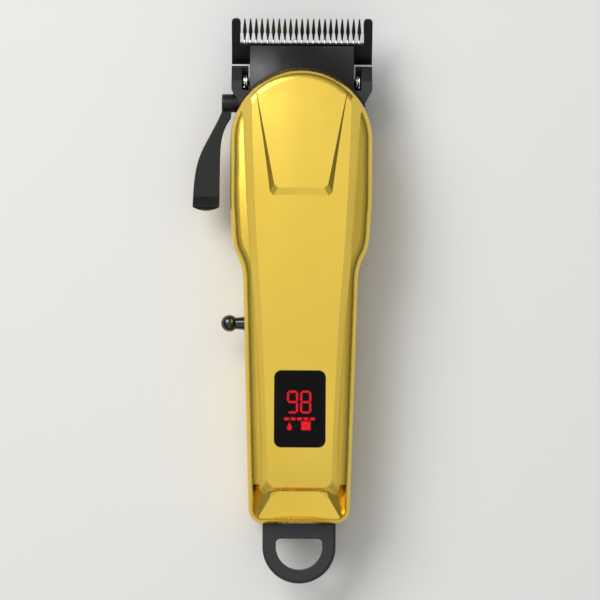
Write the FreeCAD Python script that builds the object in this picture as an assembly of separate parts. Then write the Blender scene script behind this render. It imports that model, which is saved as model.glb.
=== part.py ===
import FreeCAD, Part
import math
import os

# Cordless hair clipper lying on its flat back: +X right, +Y towards the blade, +Z out of the display face.
# The origin is on the flat back, on the middle plane, where the waist of the body is.

V = FreeCAD.Vector
X_AXIS = V(1, 0, 0)
Y_AXIS = V(0, 1, 0)
Z_AXIS = V(0, 0, 1)
ORIGIN = V(0, 0, 0)

# ---- body ----
TAIL_Y = -74.9
TAIL_HALF = 17.05
TAIL_CORNER = 5.0
WAIST_Y = 5.0
WAIST_HALF = 19.15
HEAD_HALF = 23.7
HEAD_Y = 38.0
HOOD_Y = 76.9
ARCH_Y = HOOD_Y - HEAD_HALF
SPLIT_Z = 20.0
SEAM = 0.15
WALL = 1.8
BACK_ROUND = 5.0
DECK_ROUND = 4.8
# centre line of the deck: y, z
DECK = [(-80, 27.0), (-60, 29.2), (-20, 31.4), (20, 33.4), (45, 33.0), (62, 31.9), (82, 29.4)]
DECK_CROWN = 8.0
CROWN_HALF = 30.0
LOWER_FRONT_Y = 58.0

# ---- raised panel and scoop ----
PANEL_RISE = 1.5
PANEL_CROWN = 1.5
PANEL_ROLL = 3.4
PANEL_SLOPE = 0.7
PANEL_SETBACK = 0.35
PANEL_LOW_Z = 25.0
PANEL_END_Y = TAIL_Y + 12.6
PANEL_END_ROUND = 3.3
# half width and y along the panel's edge
PANEL_SIDE = [(15.9, 80), (16.1, 60), (15.7, 48), (14.2, 17), (12.7, -5), (11.5, -30),
              (10.6, PANEL_END_Y + PANEL_END_ROUND)]
SCOOP_HEAD_RISE = 0.15
SCOOP_RISE = 1.2
SCOOP_SLOPE = 1.3
SCOOP_END_SLOPE = 2.1
SCOOP_SIDE = [(13.0, 68.5), (11.6, 58.5), (10.15, 48.5), (8.7, 38.6)]
SCOOP_END_Y = 37.3
SCOOP_CORNER = 1.1
SCOOP_LOW_Z = 31.5

# ---- tail facets ----
FACET_TOP_Y = TAIL_Y + 11.6
FACET_DROP = 2.7
FACET_RUN = 9.0
FACET_TOP_HALF = 8.3
FACET_LOW_HALF = 13.5
BEVEL_OUT = 6.2
BEVEL_DROP = 4.2
BEVEL_AHEAD = 1.8
TAIL_RIM = 1.8

# ---- hood rim over the blade ----
RIM_BACK_Y = 64.5
RIM_SLOPE = 0.35
COLLAR_PROUD = 0.8
COLLAR_T = 2.5
COLLAR_LOW_Z = 18.0
COLLAR_BACK_Y = 65.0

# ---- blade plane: local x across, y forward along the plane, z out of it ----
TILT = 32.0
TIP_Y = 93.8
TIP_Z = 22.0
COMB_LEN = 27.0
COMB_HEEL = -1.5
COMB_T = 2.0
COMB_HALF = 23.6
COMB_TAIL_HALF = 17.6
ARM_W = 3.0
ARM_START = 10.0
TEETH = 21
PITCH = 1.92
COMB_ROOT = 20.6
COMB_TOOTH_ROOT_W = 1.35
COMB_TOOTH_TIP_W = 0.45
COMB_TIP_T = 0.9
BLADE_SCREW_X = 7.4
BLADE_SCREW_Y = 1.6
BLADE_SCREW_R = 1.5
BLADE_SCREW_HEAD_R = 2.9
BLADE_GAP = 0.03

CUTTER_HALF = 20.7
CUTTER_TAIL_HALF = 15.0
CUTTER_BACK = 7.0
CUTTER_BAR_BACK = 18.9
CUTTER_ROOT = 20.2
CUTTER_TIP = 22.2
CUTTER_T = 1.2
CUTTER_CREST = 2.5
CUTTER_EDGE_T = 0.35
CUTTER_BASE_BAR = 1.3
CUTTER_TOOTH_ROOT_W = 1.6
CUTTER_TOOTH_TIP_W = 0.75
GROOVE_W = 0.5
GROOVE_DEPTH = 0.45
STROKE = 1.1

CARRIER_HALF = 17.9
CARRIER_BACK = -1.5
CARRIER_FRONT = 4.8
CARRIER_T = 2.5
LUG_X0 = -12.0
LUG_X1 = -9.2
LUG_WALL = 1.0

# ---- blade spring ----
SPRING_Y = 73.3
SPRING_Z = 16.6
SPRING_R = 2.0
SPRING_WIRE = 0.4
SPRING_BRIDGE_Y = 78.5
SPRING_BRIDGE_Z = 17.25

# ---- front frame ----
CHEEK_HALF = 23.6
CHEEK_FRONT_Y = 78.6
CHEEK_INNER = 18.0
CHANNEL_INNER = 20.0
CHANNEL_BACK_Y = 70.3
CHANNEL_N = 3.5
CHEEK_CORNER_Y = 70.6
FRAME_WALL_T = 1.9

# ---- nose cover ----
COVER_HALF = 17.4
COVER_FRONT_Y = 85.2
COVER_FRONT_Z = 19.9
COVER_T = 1.0
COVER_GAP = 0.1
COVER_PIN_X = 11.0
COVER_PIN_R = 1.3

# ---- taper lever ----
LEVER_Y = 66.2
LEVER_Z = 13.0
HUB_R = 3.1
HUB_X0 = -26.9
HUB_X1 = -20.7
SHAFT_R = 2.5
SHAFT_END_X = -12.6
ECC_R = 2.2
ECC_PIN_R = 1.2
ECC_PIN_END_X = -8.9
LEVER_SWING = 45.0
LEVER_T = 2.6
LEVER_END_Y = 29.9
THUMB_LEN = 4.6
THUMB_H = 3.4
RUN = 0.05
BEARING_WALL = 1.8

# ---- power toggle ----
TOGGLE_Y = -8.0
TOGGLE_Z = 14.0
TOGGLE_PIVOT_X = -14.6
BALL_R = 2.85
BALL_X = -23.9
NECK_R = 2.4
NECK_X = -17.9
STEM_R = 1.7
EYE_R = 2.0
NECK_TIP_R = 1.95
TOGGLE_PIN_R = 0.8
COLLAR_SLOT_Y = 5.4
COLLAR_SLOT_Z = 7.6
COLLAR_WALL = 0.9
COLLAR_WALL_X = 18.4

# ---- drive ----
MOTOR_Z = 17.0
MOTOR_R = 12.0
MOTOR_Y0 = 20.0
MOTOR_Y1 = 51.0
MOTOR_SHAFT_R = 1.15
CAN_T = 1.0
CAM_R = 4.8
CAM_Y0 = 58.6
CAM_Y1 = 62.4
CAM_PIN_R = 1.0
CAM_PIN_END = 68.2

# ---- battery ----
CELL_R = 9.1
CELL_Z = 12.6
CELL_Y0 = TAIL_Y + 17.9
CELL_Y1 = 8.0

# ---- display ----
WINDOW_HALF = 8.6
WINDOW_Y0 = TAIL_Y + 25.9
WINDOW_Y1 = WINDOW_Y0 + 25.7
WINDOW_ROUND = 2.4
WINDOW_T = PANEL_RISE + WALL - 1.0
LEDGE = 1.1
MASK_T = 0.5
DIGIT_W = 3.75
DIGIT_H = 7.7
SEGMENT_W = 0.75
BOARD_SCREW_X = 7.6
BOARD_SCREW_Y = -15.0

# ---- loop and socket ----
LOOP_HALF = 12.3
LOOP_Z0 = 15.6
LOOP_Z1 = 19.6
LOOP_END_Y = TAIL_Y - 20.3
LOOP_HOLE_HALF = 7.8
LOOP_HOLE_Y = TAIL_Y - 5.2
LOOP_ROOT_HALF = 6.0
LOOP_ROUND = 1.1
SOCKET_Z = 8.6
SOCKET_R = 1.75
SOCKET_DEPTH = 8.0
SOCKET_NOSE_R = 3.4

# ---- case screws: x, y ----
SCREWS = [(-12.2, TAIL_Y + 10.9), (12.2, TAIL_Y + 10.9), (-18.2, 34.0), (18.2, 34.0)]
POST_R = 3.3
BOSS_R = 2.5
SCREW_HEAD_R = 2.3
SCREW_R = 1.25
SCREW_HEAD_Z = 10.5
SCREW_TIP_Z = 23.4
# shallow flat on the left flank beside the lever: depth, y, y, z, z
FLAT_X = -23.2
FLAT = (30.0, 58.0, 9.0, 24.5)

COS_T = math.cos(math.radians(TILT))
SIN_T = math.sin(math.radians(TILT))
HEEL_Y = TIP_Y - COMB_LEN * COS_T
HEEL_Z = TIP_Z - COMB_LEN * SIN_T


# ---- helpers ----
def box(x0, x1, y0, y1, z0, z1):
    """Axis-aligned box between the given limits."""
    return Part.makeBox(x1 - x0, y1 - y0, z1 - z0, V(x0, y0, z0))


def rod_x(radius, x0, x1, y, z):
    """Cylinder along X."""
    return Part.makeCylinder(radius, x1 - x0, V(x0, y, z), X_AXIS)


def rod_y(radius, y0, y1, x, z):
    """Cylinder along Y."""
    return Part.makeCylinder(radius, y1 - y0, V(x, y0, z), Y_AXIS)


def rod_z(radius, z0, z1, x, y):
    """Cylinder along Z."""
    return Part.makeCylinder(radius, z1 - z0, V(x, y, z0), Z_AXIS)


def prism_z(points, z0, z1):
    """Straight-sided prism over a polygon in the XY plane."""
    loop = [V(x, y, z0) for x, y in points]
    loop.append(loop[0])
    return Part.Face(Part.makePolygon(loop)).extrude(V(0, 0, z1 - z0))


def prism_x(points, x0, x1):
    """Straight-sided prism over a polygon in the YZ plane."""
    loop = [V(x0, y, z) for y, z in points]
    loop.append(loop[0])
    return Part.Face(Part.makePolygon(loop)).extrude(V(x1 - x0, 0, 0))


def wire_run(points, radius):
    """Round wire through a list of points with ball joints at the bends."""
    run = Part.makeSphere(radius, points[0])
    for a, b in zip(points, points[1:]):
        step = b - a
        run = run.fuse(Part.makeCylinder(radius, step.Length, a, step))
        run = run.fuse(Part.makeSphere(radius, b))
    return run


def one_solid(shape):
    """The single solid of a boolean result, with coplanar faces joined."""
    return shape.removeSplitter().Solids[0]


def mirrored(shape):
    """Copy on the other side of the middle plane."""
    return shape.mirror(ORIGIN, X_AXIS)


def half_space(point, normal, size=80.0):
    """Large block on the side of a plane that its normal points to."""
    block = Part.makeBox(size, size, size, V(-size / 2, -size / 2, 0))
    block.Placement = FreeCAD.Placement(point, FreeCAD.Rotation(Z_AXIS, normal))
    return block


def to_blade(shape):
    """Moves a shape drawn in the blade plane's own axes into place."""
    placed = shape.copy()
    placed.rotate(ORIGIN, X_AXIS, TILT)
    placed.translate(V(0, HEEL_Y, HEEL_Z))
    return placed


def blade_z(y, n):
    """Height of the plane n above the comb blade's face, at a given y."""
    return HEEL_Z + (y - HEEL_Y) * SIN_T / COS_T + n / COS_T


def deck_curve(lift):
    """Centre line of the deck, lifted."""
    line = Part.BSplineCurve()
    line.interpolate([V(0, y, z + lift) for y, z in DECK])
    return line


def deck_z(y):
    """Height of the plain deck on the centre line."""
    line = deck_curve(0.0)
    return line.value(line.parameter(V(0, y, 31))).z


def rim_z(y):
    """Height of the hood's lower rim."""
    return SPLIT_Z + (y - RIM_BACK_Y) * RIM_SLOPE


def crowned_block(line, crown, depth):
    """Block under a surface that follows a centre line and falls away to both sides."""
    section = [V(-CROWN_HALF, 0, -crown), V(0, 0, crown), V(CROWN_HALF, 0, -crown)]
    poles = [[p + s for s in section] for p in line.getPoles()]
    skin = Part.BSplineSurface()
    skin.buildFromPolesMultsKnots(poles, line.getMultiplicities(), [3, 3], line.getKnots(), [0, 1],
                                  False, False, line.Degree, 2)
    return skin.toShape().extrude(V(0, 0, -depth))


# ---- body outline ----
def outline_half(inset, side):
    """Edges of one side of the body's outline, at z = 0."""
    half = TAIL_HALF - inset
    tail = TAIL_Y + inset
    r = TAIL_CORNER - inset
    c = V(side * (half - r), tail + r, 0)
    k = math.sqrt(0.5) * r
    corner = Part.Arc(V(c.x, tail, 0), V(c.x + side * k, c.y - k, 0), V(side * half, c.y, 0))
    waist = V(side * (WAIST_HALF - inset), WAIST_Y, 0)
    flank = Part.LineSegment(V(side * half, c.y, 0), waist)
    flare = Part.BSplineCurve()
    span = HEAD_HALF - WAIST_HALF
    length = HEAD_Y - WAIST_Y
    steps = [(0.08, 0.14), (0.31, 0.25), (0.64, 0.35), (0.83, 0.47), (0.92, 0.67)]
    points = [waist]
    for across, along in steps:
        points.append(V(side * (WAIST_HALF - inset + across * span), WAIST_Y + along * length, 0))
    head = V(side * (HEAD_HALF - inset), HEAD_Y, 0)
    points.append(head)
    lean = V(side * (WAIST_HALF - TAIL_HALF), WAIST_Y - TAIL_Y, 0)
    flare.interpolate(points, InitialTangent=lean.normalize(), FinalTangent=Y_AXIS)
    shoulder = Part.LineSegment(head, V(head.x, ARCH_Y, 0))
    return [corner.toShape(), flank.toShape(), flare.toShape(), shoulder.toShape()]


def body_prism(inset, z0, z1):
    """Prism over the body's outline."""
    r = HEAD_HALF - inset
    tail_x = TAIL_HALF - TAIL_CORNER
    edges = outline_half(inset, 1) + outline_half(inset, -1)
    edges.append(Part.Arc(V(r, ARCH_Y, 0), V(0, ARCH_Y + r, 0), V(-r, ARCH_Y, 0)).toShape())
    edges.append(Part.LineSegment(V(-tail_x, TAIL_Y + inset, 0), V(tail_x, TAIL_Y + inset, 0)).toShape())
    face = Part.Face(Part.Wire(Part.__sortEdges__(edges)))
    face.translate(V(0, 0, z0))
    return face.extrude(V(0, 0, z1 - z0))


def tail_cuts(inset):
    """Sloping end facet and its two corner bevels inside the tail's rim, as blocks to take away."""
    top = V(0, FACET_TOP_Y, deck_z(FACET_TOP_Y) - 0.3)
    slope = V(0, -FACET_DROP, FACET_RUN).normalize()
    cuts = [half_space(top - slope * inset, slope)]
    for side in (-1, 1):
        a = V(side * FACET_TOP_HALF, FACET_TOP_Y, top.z)
        b = V(side * FACET_LOW_HALF, FACET_TOP_Y - FACET_RUN, top.z - FACET_DROP)
        c = V(side * (FACET_TOP_HALF + BEVEL_OUT), FACET_TOP_Y, top.z - BEVEL_DROP)
        normal = (b - a).cross(c - a).normalize()
        if normal.z < 0:
            normal = normal * -1
        cuts.append(half_space(a - normal * inset, normal))
    region = box(-40, 40, -100, FACET_TOP_Y + BEVEL_AHEAD + inset, 0, 60)
    if inset == 0.0:
        region = region.common(body_prism(TAIL_RIM, 0, 60))
    return [cut.common(region) for cut in cuts]


def rolled_form(inset, lift, crown, roll):
    """Solid under the deck, lifted by a given amount, with its top edge rolled over."""
    form = body_prism(inset, SPLIT_Z - 1, 45).common(crowned_block(deck_curve(lift), crown, 60))
    roof = max(form.Faces, key=lambda f: f.CenterOfMass.z)
    return form.makeFillet(roll, roof.OuterWire.Edges)


def upper_form(inset):
    """Upper half of the body as a solid: outside when inset is 0, inside when it is the wall."""
    form = rolled_form(inset, -inset, DECK_CROWN, DECK_ROUND - inset)
    for cut in tail_cuts(inset):
        form = form.cut(cut)
    return form


def sloped_ring(side, end_y, corner, slope, end_slope, lift, z):
    """Closed outline at height z of a form whose walls lean in towards its top on the deck.

    Corners wider than 2 mm are round, smaller ones are cut straight.
    """
    def grow(y):
        return deck_z(y) + lift - z

    end = end_y - end_slope * grow(end_y)
    edges = []
    for hand in (-1, 1):
        curve = Part.BSplineCurve()
        points = [V(hand * (x + slope * grow(y)), y, z) for x, y in side[:-1]]
        last_x, last_y = side[-1]
        last = V(hand * (last_x + slope * grow(last_y)), last_y - end_slope * grow(last_y), z)
        points.append(last)
        curve.interpolate(points)
        edges.append(curve.toShape())
        foot = V(last.x - hand * corner, end, z)
        cut = Part.LineSegment(last, foot)
        if corner > 2.0:
            bulge = math.sin(math.radians(45))
            middle = V(foot.x + hand * corner * bulge, last.y - (last.y - end) * bulge, z)
            cut = Part.Arc(last, middle, foot)
        edges.append(cut.toShape())
    front = side[0]
    wide = front[0] + slope * grow(front[1])
    edges.append(Part.LineSegment(V(-wide, front[1], z), V(wide, front[1], z)).toShape())
    low = abs(edges[1].Vertexes[1].Point.x)
    edges.append(Part.LineSegment(V(-low, end, z), V(low, end, z)).toShape())
    return Part.Wire(Part.__sortEdges__(edges))


def sloped_form(side, end_y, corner, slope, end_slope, lift, low):
    """Form with leaning walls from a low level inside the body to one above the deck."""
    rings = [sloped_ring(side, end_y, corner, slope, end_slope, lift, z) for z in (low, 37.0)]
    return Part.makeLoft(rings, True, True)


def raised_panel():
    """Panel along the deck with leaning sides, rolled over at the hood."""
    walls = sloped_form(PANEL_SIDE, PANEL_END_Y, PANEL_END_ROUND, PANEL_SLOPE, PANEL_SLOPE, PANEL_RISE,
                        PANEL_LOW_Z)
    return walls.common(rolled_form(PANEL_SETBACK, PANEL_RISE, PANEL_CROWN, PANEL_ROLL))


def scoop():
    """Tapering raised scoop at the panel's head, proudest at its narrow end."""
    top_y = SCOOP_SIDE[0][1]
    lifted = []
    for y, z in DECK:
        share = (top_y - y) / (top_y - SCOOP_END_Y)
        rise = SCOOP_HEAD_RISE + (SCOOP_RISE - SCOOP_HEAD_RISE) * share
        lifted.append(V(0, y, z + PANEL_RISE + rise))
    line = Part.BSplineCurve()
    line.interpolate(lifted)
    walls = sloped_form(SCOOP_SIDE, SCOOP_END_Y, SCOOP_CORNER, SCOOP_SLOPE, SCOOP_END_SLOPE,
                        PANEL_RISE + SCOOP_RISE, SCOOP_LOW_Z)
    return walls.common(crowned_block(line, PANEL_CROWN, 60))


def rounded_plate(half_x, y0, y1, radius, z0, z1):
    """Plate with rounded corners, drawn flat."""
    plate = box(-half_x, half_x, y0, y1, z0, z1)
    upright = [e for e in plate.Edges if abs(e.tangentAt(e.FirstParameter).z) > 0.9]
    return plate.makeFillet(radius, upright)


def flank_flat():
    """Block whose inner face makes the shallow flat beside the lever."""
    return box(-40, FLAT_X, *FLAT)


def upper_shell():
    """Metal top half with panel, scoop, window opening and screw bosses."""
    outer = upper_form(0.0)
    shell = outer.fuse(raised_panel()).fuse(scoop()).cut(upper_form(WALL)).cut(flank_flat())
    for x, y in SCREWS:
        boss = rod_z(BOSS_R, SPLIT_Z + SEAM, 34, x, y).common(outer)
        shell = shell.fuse(boss)
    for x, y in SCREWS:
        shell = shell.cut(rod_z(SCREW_R - 0.01, SPLIT_Z - 1, SCREW_TIP_Z + 0.3, x, y))
    for x in (-BOARD_SCREW_X, BOARD_SCREW_X):
        shell = shell.fuse(display_pose(rod_z(2.2, -MASK_T - 1.08, 0, x, BOARD_SCREW_Y)))
        shell = shell.cut(display_pose(rod_z(0.99, -MASK_T - 3, -0.7, x, BOARD_SCREW_Y)))
    shell = shell.cut(box(-40, 40, -90, 90, 0, SPLIT_Z + SEAM))
    rim = [(RIM_BACK_Y, SPLIT_Z - 2), (RIM_BACK_Y, SPLIT_Z), (90, rim_z(90)), (90, SPLIT_Z - 2)]
    shell = shell.cut(prism_x(rim, -40, 40))
    opening = rounded_plate(WINDOW_HALF, WINDOW_Y0, WINDOW_Y1, WINDOW_ROUND, 20, 45)
    seat = crowned_block(deck_curve(PANEL_RISE - WINDOW_T - 0.05), PANEL_CROWN, 60)
    shell = shell.cut(opening.cut(seat))
    through = rounded_plate(WINDOW_HALF - LEDGE, WINDOW_Y0 + LEDGE, WINDOW_Y1 - LEDGE, WINDOW_ROUND / 2,
                            20, 45)
    return one_solid(shell.cut(through))


def display_window():
    """Smoked window flush with the panel."""
    plate = rounded_plate(WINDOW_HALF - 0.08, WINDOW_Y0 + 0.08, WINDOW_Y1 - 0.08, WINDOW_ROUND, 20, 45)
    plate = plate.common(crowned_block(deck_curve(PANEL_RISE), PANEL_CROWN, 60))
    return one_solid(plate.cut(crowned_block(deck_curve(PANEL_RISE - WINDOW_T), PANEL_CROWN, 60)))


# ---- display stack: drawn flat about the window's centre, then tilted with the deck ----
def display_pose(shape):
    """Moves a shape drawn flat, top at z = 0, to just under the window."""
    mid = (WINDOW_Y0 + WINDOW_Y1) / 2
    rise = deck_z(WINDOW_Y1) - deck_z(WINDOW_Y0)
    placed = shape.copy()
    placed.rotate(ORIGIN, X_AXIS, math.degrees(math.atan2(rise, WINDOW_Y1 - WINDOW_Y0)))
    placed.translate(V(0, mid, deck_z(mid) + PANEL_RISE - WINDOW_T - 0.3))
    return placed


def segment_bar(x, y, length, upright, z0, z1):
    """One bar of a lit figure, pointed at both ends."""
    h = length / 2
    w = SEGMENT_W / 2
    loop = [(-h, 0), (-h + w, w), (h - w, w), (h, 0), (h - w, -w), (-h + w, -w)]
    if upright:
        loop = [(b, a) for a, b in loop]
    return prism_z([(x + a, y + b) for a, b in loop], z0, z1)


def figure(x, y, lit, z0, z1):
    """Seven-bar figure with its middle at x, y; lit names the bars a to g."""
    half = DIGIT_W / 2 - SEGMENT_W / 2
    rise = DIGIT_H / 2 - SEGMENT_W / 2
    flat = 2 * half - 0.15
    tall = rise - 0.15
    bars = {"a": (0, rise, flat, False), "b": (half, rise / 2, tall, True),
            "c": (half, -rise / 2, tall, True),
            "d": (0, -rise, flat, False), "e": (-half, -rise / 2, tall, True),
            "f": (-half, rise / 2, tall, True), "g": (0, 0, flat, False)}
    shapes = []
    for name in lit:
        dx, dy, length, upright = bars[name]
        shapes.append(segment_bar(x + dx, y + dy, length, upright, z0, z1))
    return shapes


def lit_marks(z0, z1):
    """All lit marks of the display: two figures, a row of bars, a drop and a round lamp in a square."""
    marks = figure(-2.45, 2.2, "abcdfg", z0, z1) + figure(1.95, 2.2, "abcdefg", z0, z1)
    for k in range(5):
        marks.append(box(-5.2 + k * 2.15, -3.6 + k * 2.15, -3.9, -2.9, z0, z1))
    drop = rod_z(0.85, z0, z1, -3.4, -6.4)
    tip = prism_z([(-4.15, -6.0), (-3.4, -4.5), (-2.65, -6.0)], z0, z1)
    marks.append(drop.fuse(tip).removeSplitter())
    frame = rounded_plate(1.6, -7.2, -4.2, 0.3, z0, z1)
    frame.translate(V(2.05, 0, 0))
    hole = rod_z(1.15, z0, z1, 2.05, -5.7)
    marks.append(frame.cut(hole))
    marks.append(rod_z(0.85, z0, z1, 2.05, -5.7))
    return marks


def display_mask():
    """Black mask with a cut-out for each lit mark."""
    half = WINDOW_HALF - LEDGE - 0.3
    length = (WINDOW_Y1 - WINDOW_Y0) / 2 - LEDGE - 0.3
    mask = rounded_plate(half, -length, length, WINDOW_ROUND / 2, -MASK_T, 0)
    for mark in lit_marks(-MASK_T, 0):
        mask = mask.cut(mark)
    return display_pose(mask.Solids[0])


def display_light():
    """Light guide: a plate with a raised mark in each cut-out of the mask."""
    guide = box(-6.2, 6.2, -8.5, 7.0, -MASK_T - 1.0, -MASK_T)
    for mark in lit_marks(-MASK_T, -0.02):
        guide = guide.fuse(mark)
    return display_pose(one_solid(guide))


def display_board():
    """Circuit board under the display."""
    board = rounded_plate(9.6, -17.5, 15.5, 1.0, -MASK_T - 2.3, -MASK_T - 1.1)
    for x in (-BOARD_SCREW_X, BOARD_SCREW_X):
        board = board.cut(rod_z(1.05, -6, 2, x, BOARD_SCREW_Y))
    chips = [(-4.0, 4.0, 4.0, 4.0), (3.5, 6.0, 2.5, 1.6), (3.0, -4.0, 5.0, 3.0), (-5.0, -6.0, 1.6, 3.0)]
    for x, y, w, h in chips:
        chip = box(x - w / 2, x + w / 2, y - h / 2, y + h / 2, -MASK_T - 3.3, -MASK_T - 2.2)
        board = board.fuse(chip)
    return display_pose(one_solid(board))


def board_screws():
    """Two screws holding the board."""
    screws = []
    for x in (-BOARD_SCREW_X, BOARD_SCREW_X):
        head = rod_z(1.8, -MASK_T - 3.4, -MASK_T - 2.32, x, BOARD_SCREW_Y)
        shank = rod_z(0.98, -MASK_T - 2.4, -0.75, x, BOARD_SCREW_Y)
        screws.append(display_pose(head.fuse(shank).removeSplitter()))
    return Part.makeCompound([s.Solids[0] for s in screws])


# ---- lower half ----
def lower_form(inset):
    """Lower half of the body as a solid."""
    form = body_prism(inset, inset, SPLIT_Z + inset)
    floor = min(form.Faces, key=lambda f: f.CenterOfMass.z)
    return form.makeFillet(BACK_ROUND - inset * 0.6, floor.OuterWire.Edges)


def lower_shell():
    """Metal lower half with screw posts, socket hole, toggle hole and loop notch."""
    outer = lower_form(0.0)
    shell = outer.cut(lower_form(WALL))
    for x, y in SCREWS:
        shell = shell.fuse(rod_z(POST_R, 0.5, SPLIT_Z, x, y).common(outer))
    for x, y in SCREWS:
        shell = shell.cut(rod_z(SCREW_HEAD_R + 0.15, -1, SCREW_HEAD_Z + 2.0, x, y))
        shell = shell.cut(rod_z(SCREW_R + 0.2, -1, 30, x, y))
    shell = shell.cut(box(-40, 40, LOWER_FRONT_Y, 100, -5, 40))
    shell = shell.cut(box(-40, 40, -100, 100, SPLIT_Z, 40))
    shell = shell.cut(rod_y(SOCKET_NOSE_R + 0.05, TAIL_Y - 1, TAIL_Y + 4, 0, SOCKET_Z))
    root = LOOP_ROOT_HALF + 0.1
    shell = shell.cut(box(-root, root, TAIL_Y - 1, TAIL_Y + 3, LOOP_Z0 - 0.1, SPLIT_Z + 1))
    grow = COLLAR_WALL + 0.05
    shell = shell.cut(flank_flat())
    return one_solid(shell.cut(toggle_slot(grow, -25, -12)))


def toggle_slot(grow, x0, x1):
    """Round-ended slot through the left wall at the toggle."""
    r = COLLAR_SLOT_Y / 2 + grow
    lift = COLLAR_SLOT_Z / 2 - COLLAR_SLOT_Y / 2
    slot = rod_x(r, x0, x1, TOGGLE_Y, TOGGLE_Z - lift)
    slot = slot.fuse(rod_x(r, x0, x1, TOGGLE_Y, TOGGLE_Z + lift))
    slot = slot.fuse(box(x0, x1, TOGGLE_Y - r, TOGGLE_Y + r, TOGGLE_Z - lift, TOGGLE_Z + lift))
    return slot.removeSplitter()


def toggle_collar():
    """Bushing in the wall around the toggle's neck, flanged on the inside."""
    inner_x = WALL - COLLAR_WALL_X
    sleeve = toggle_slot(COLLAR_WALL, -25, inner_x).common(body_prism(0.02, 0, SPLIT_Z))
    flange = toggle_slot(COLLAR_WALL + 0.9, inner_x, inner_x + 0.6)
    return one_solid(sleeve.fuse(flange).cut(toggle_slot(0.0, -30, -12)))


def power_toggle():
    """Ball on a tapering neck, with an eye around its pivot pin."""
    join = BALL_X + math.sqrt(BALL_R ** 2 - NECK_TIP_R ** 2)
    lean = math.radians(60)
    corners = [(BALL_X - BALL_R, 0), (TOGGLE_PIVOT_X, 0), (TOGGLE_PIVOT_X, STEM_R), (NECK_X, STEM_R),
               (NECK_X, NECK_R), (join, NECK_TIP_R)]
    outline = Part.makePolygon([V(x, TOGGLE_Y, TOGGLE_Z + r) for x, r in corners])
    middle = V(BALL_X - BALL_R * math.cos(lean), TOGGLE_Y, TOGGLE_Z + BALL_R * math.sin(lean))
    ball = Part.Arc(V(join, TOGGLE_Y, TOGGLE_Z + NECK_TIP_R), middle, V(BALL_X - BALL_R, TOGGLE_Y, TOGGLE_Z))
    face = Part.Face(Part.Wire(outline.Edges + [ball.toShape()]))
    turned = face.revolve(V(0, TOGGLE_Y, TOGGLE_Z), X_AXIS, 360)
    eye = rod_y(EYE_R, TOGGLE_Y - 1.9, TOGGLE_Y + 1.9, TOGGLE_PIVOT_X, TOGGLE_Z)
    lever = turned.fuse(eye)
    bore = rod_y(TOGGLE_PIN_R + RUN, TOGGLE_Y - 5, TOGGLE_Y + 5, TOGGLE_PIVOT_X, TOGGLE_Z)
    return one_solid(lever.cut(bore))


def switch_body():
    """Switch block behind the wall, with two ears for the toggle's pivot pin."""
    block = box(-15.9, -9.6, TOGGLE_Y - 5.8, TOGGLE_Y + 5.8, TOGGLE_Z - 6, TOGGLE_Z + 5.6)
    block = block.cut(box(-20, -12.2, TOGGLE_Y - 2.6, TOGGLE_Y + 2.6, TOGGLE_Z - 7, TOGGLE_Z + 7))
    pin = rod_y(TOGGLE_PIN_R, TOGGLE_Y - 5.0, TOGGLE_Y + 5.0, TOGGLE_PIVOT_X, TOGGLE_Z)
    return one_solid(block.cut(pin))


def toggle_pin():
    """Pivot pin of the toggle."""
    return rod_y(TOGGLE_PIN_R, TOGGLE_Y - 5.0, TOGGLE_Y + 5.0, TOGGLE_PIVOT_X, TOGGLE_Z)


# ---- front frame and nose cover ----
def cheek():
    """Right cheek of the front frame: corner block beside the blade."""
    side = [(58.1, 0.5), (67.0, 4.0), (CHEEK_FRONT_Y, blade_z(CHEEK_FRONT_Y, -1.0)), (CHEEK_FRONT_Y, 16.6),
            (73.4, SPLIT_Z), (58.1, SPLIT_Z)]
    block = prism_x(side, CHEEK_INNER, CHEEK_HALF)
    chamfer_x = math.sqrt(HEAD_HALF ** 2 - (COLLAR_BACK_Y - ARCH_Y) ** 2)
    corner = [(chamfer_x, COLLAR_BACK_Y), (CHEEK_HALF, CHEEK_CORNER_Y), (CHEEK_HALF, 90), (0, 90),
              (0, COLLAR_BACK_Y)]
    plan = prism_z(corner, -5, 40).fuse(body_prism(0.0, -5, 40))
    block = block.common(plan)
    low = blade_z(CHANNEL_BACK_Y, CHANNEL_N)
    high = blade_z(90, CHANNEL_N)
    channel = prism_x([(CHANNEL_BACK_Y, low), (90, high), (90, 40), (CHANNEL_BACK_Y, 40)], 0, CHANNEL_INNER)
    return block.cut(channel)


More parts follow.
